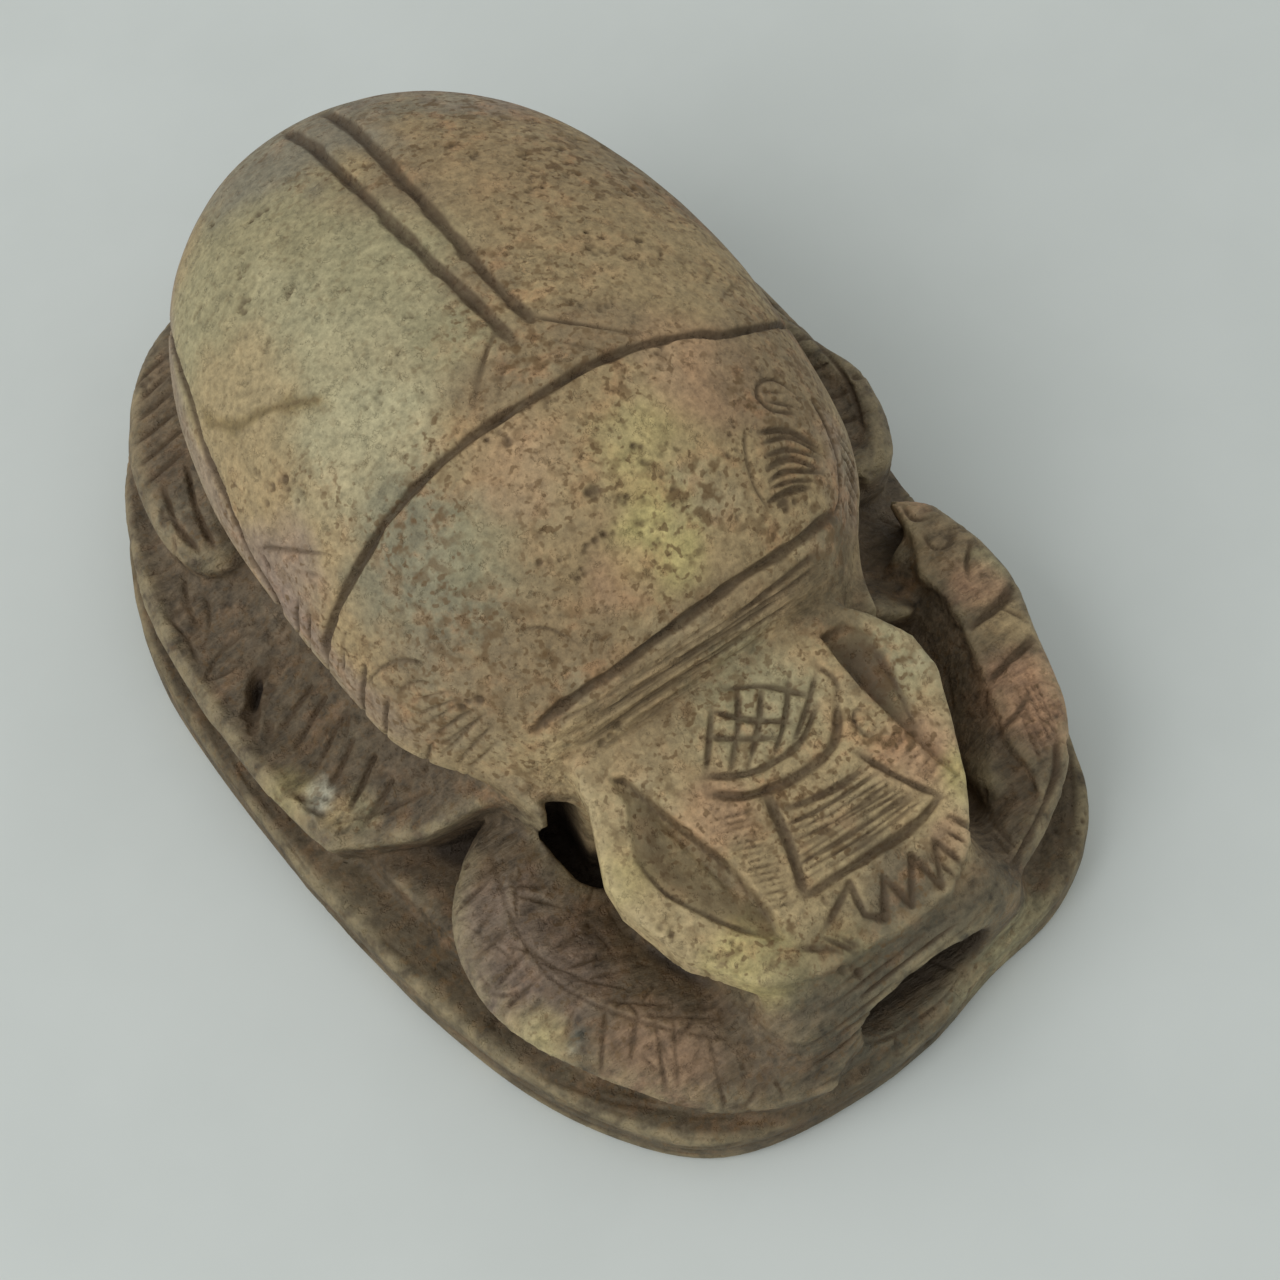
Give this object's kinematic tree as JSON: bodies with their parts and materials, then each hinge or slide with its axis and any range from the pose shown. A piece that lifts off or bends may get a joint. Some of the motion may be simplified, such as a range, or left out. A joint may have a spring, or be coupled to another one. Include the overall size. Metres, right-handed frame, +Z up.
{
  "type": "scarab amulet",
  "caption": "Carved stone beetle with folded legs on a flat oval base, pierced lengthwise for a thread.",
  "frame": {"origin": "centre of the underside of the oval base", "axes": "+Z up from the base, +Y along the base towards the beetle's rear, the head faces -Y, +X to the right"},
  "size_m": [0.041, 0.06, 0.0249],
  "materials": {
    "worn_stone": "matt soapstone, olive cream and tan on the high parts, grey brown on the sides, dark brown in the cut lines"
  },
  "bodies": {
    "root": {"scarab": "worn_stone"}
  },
  "joints": []
}
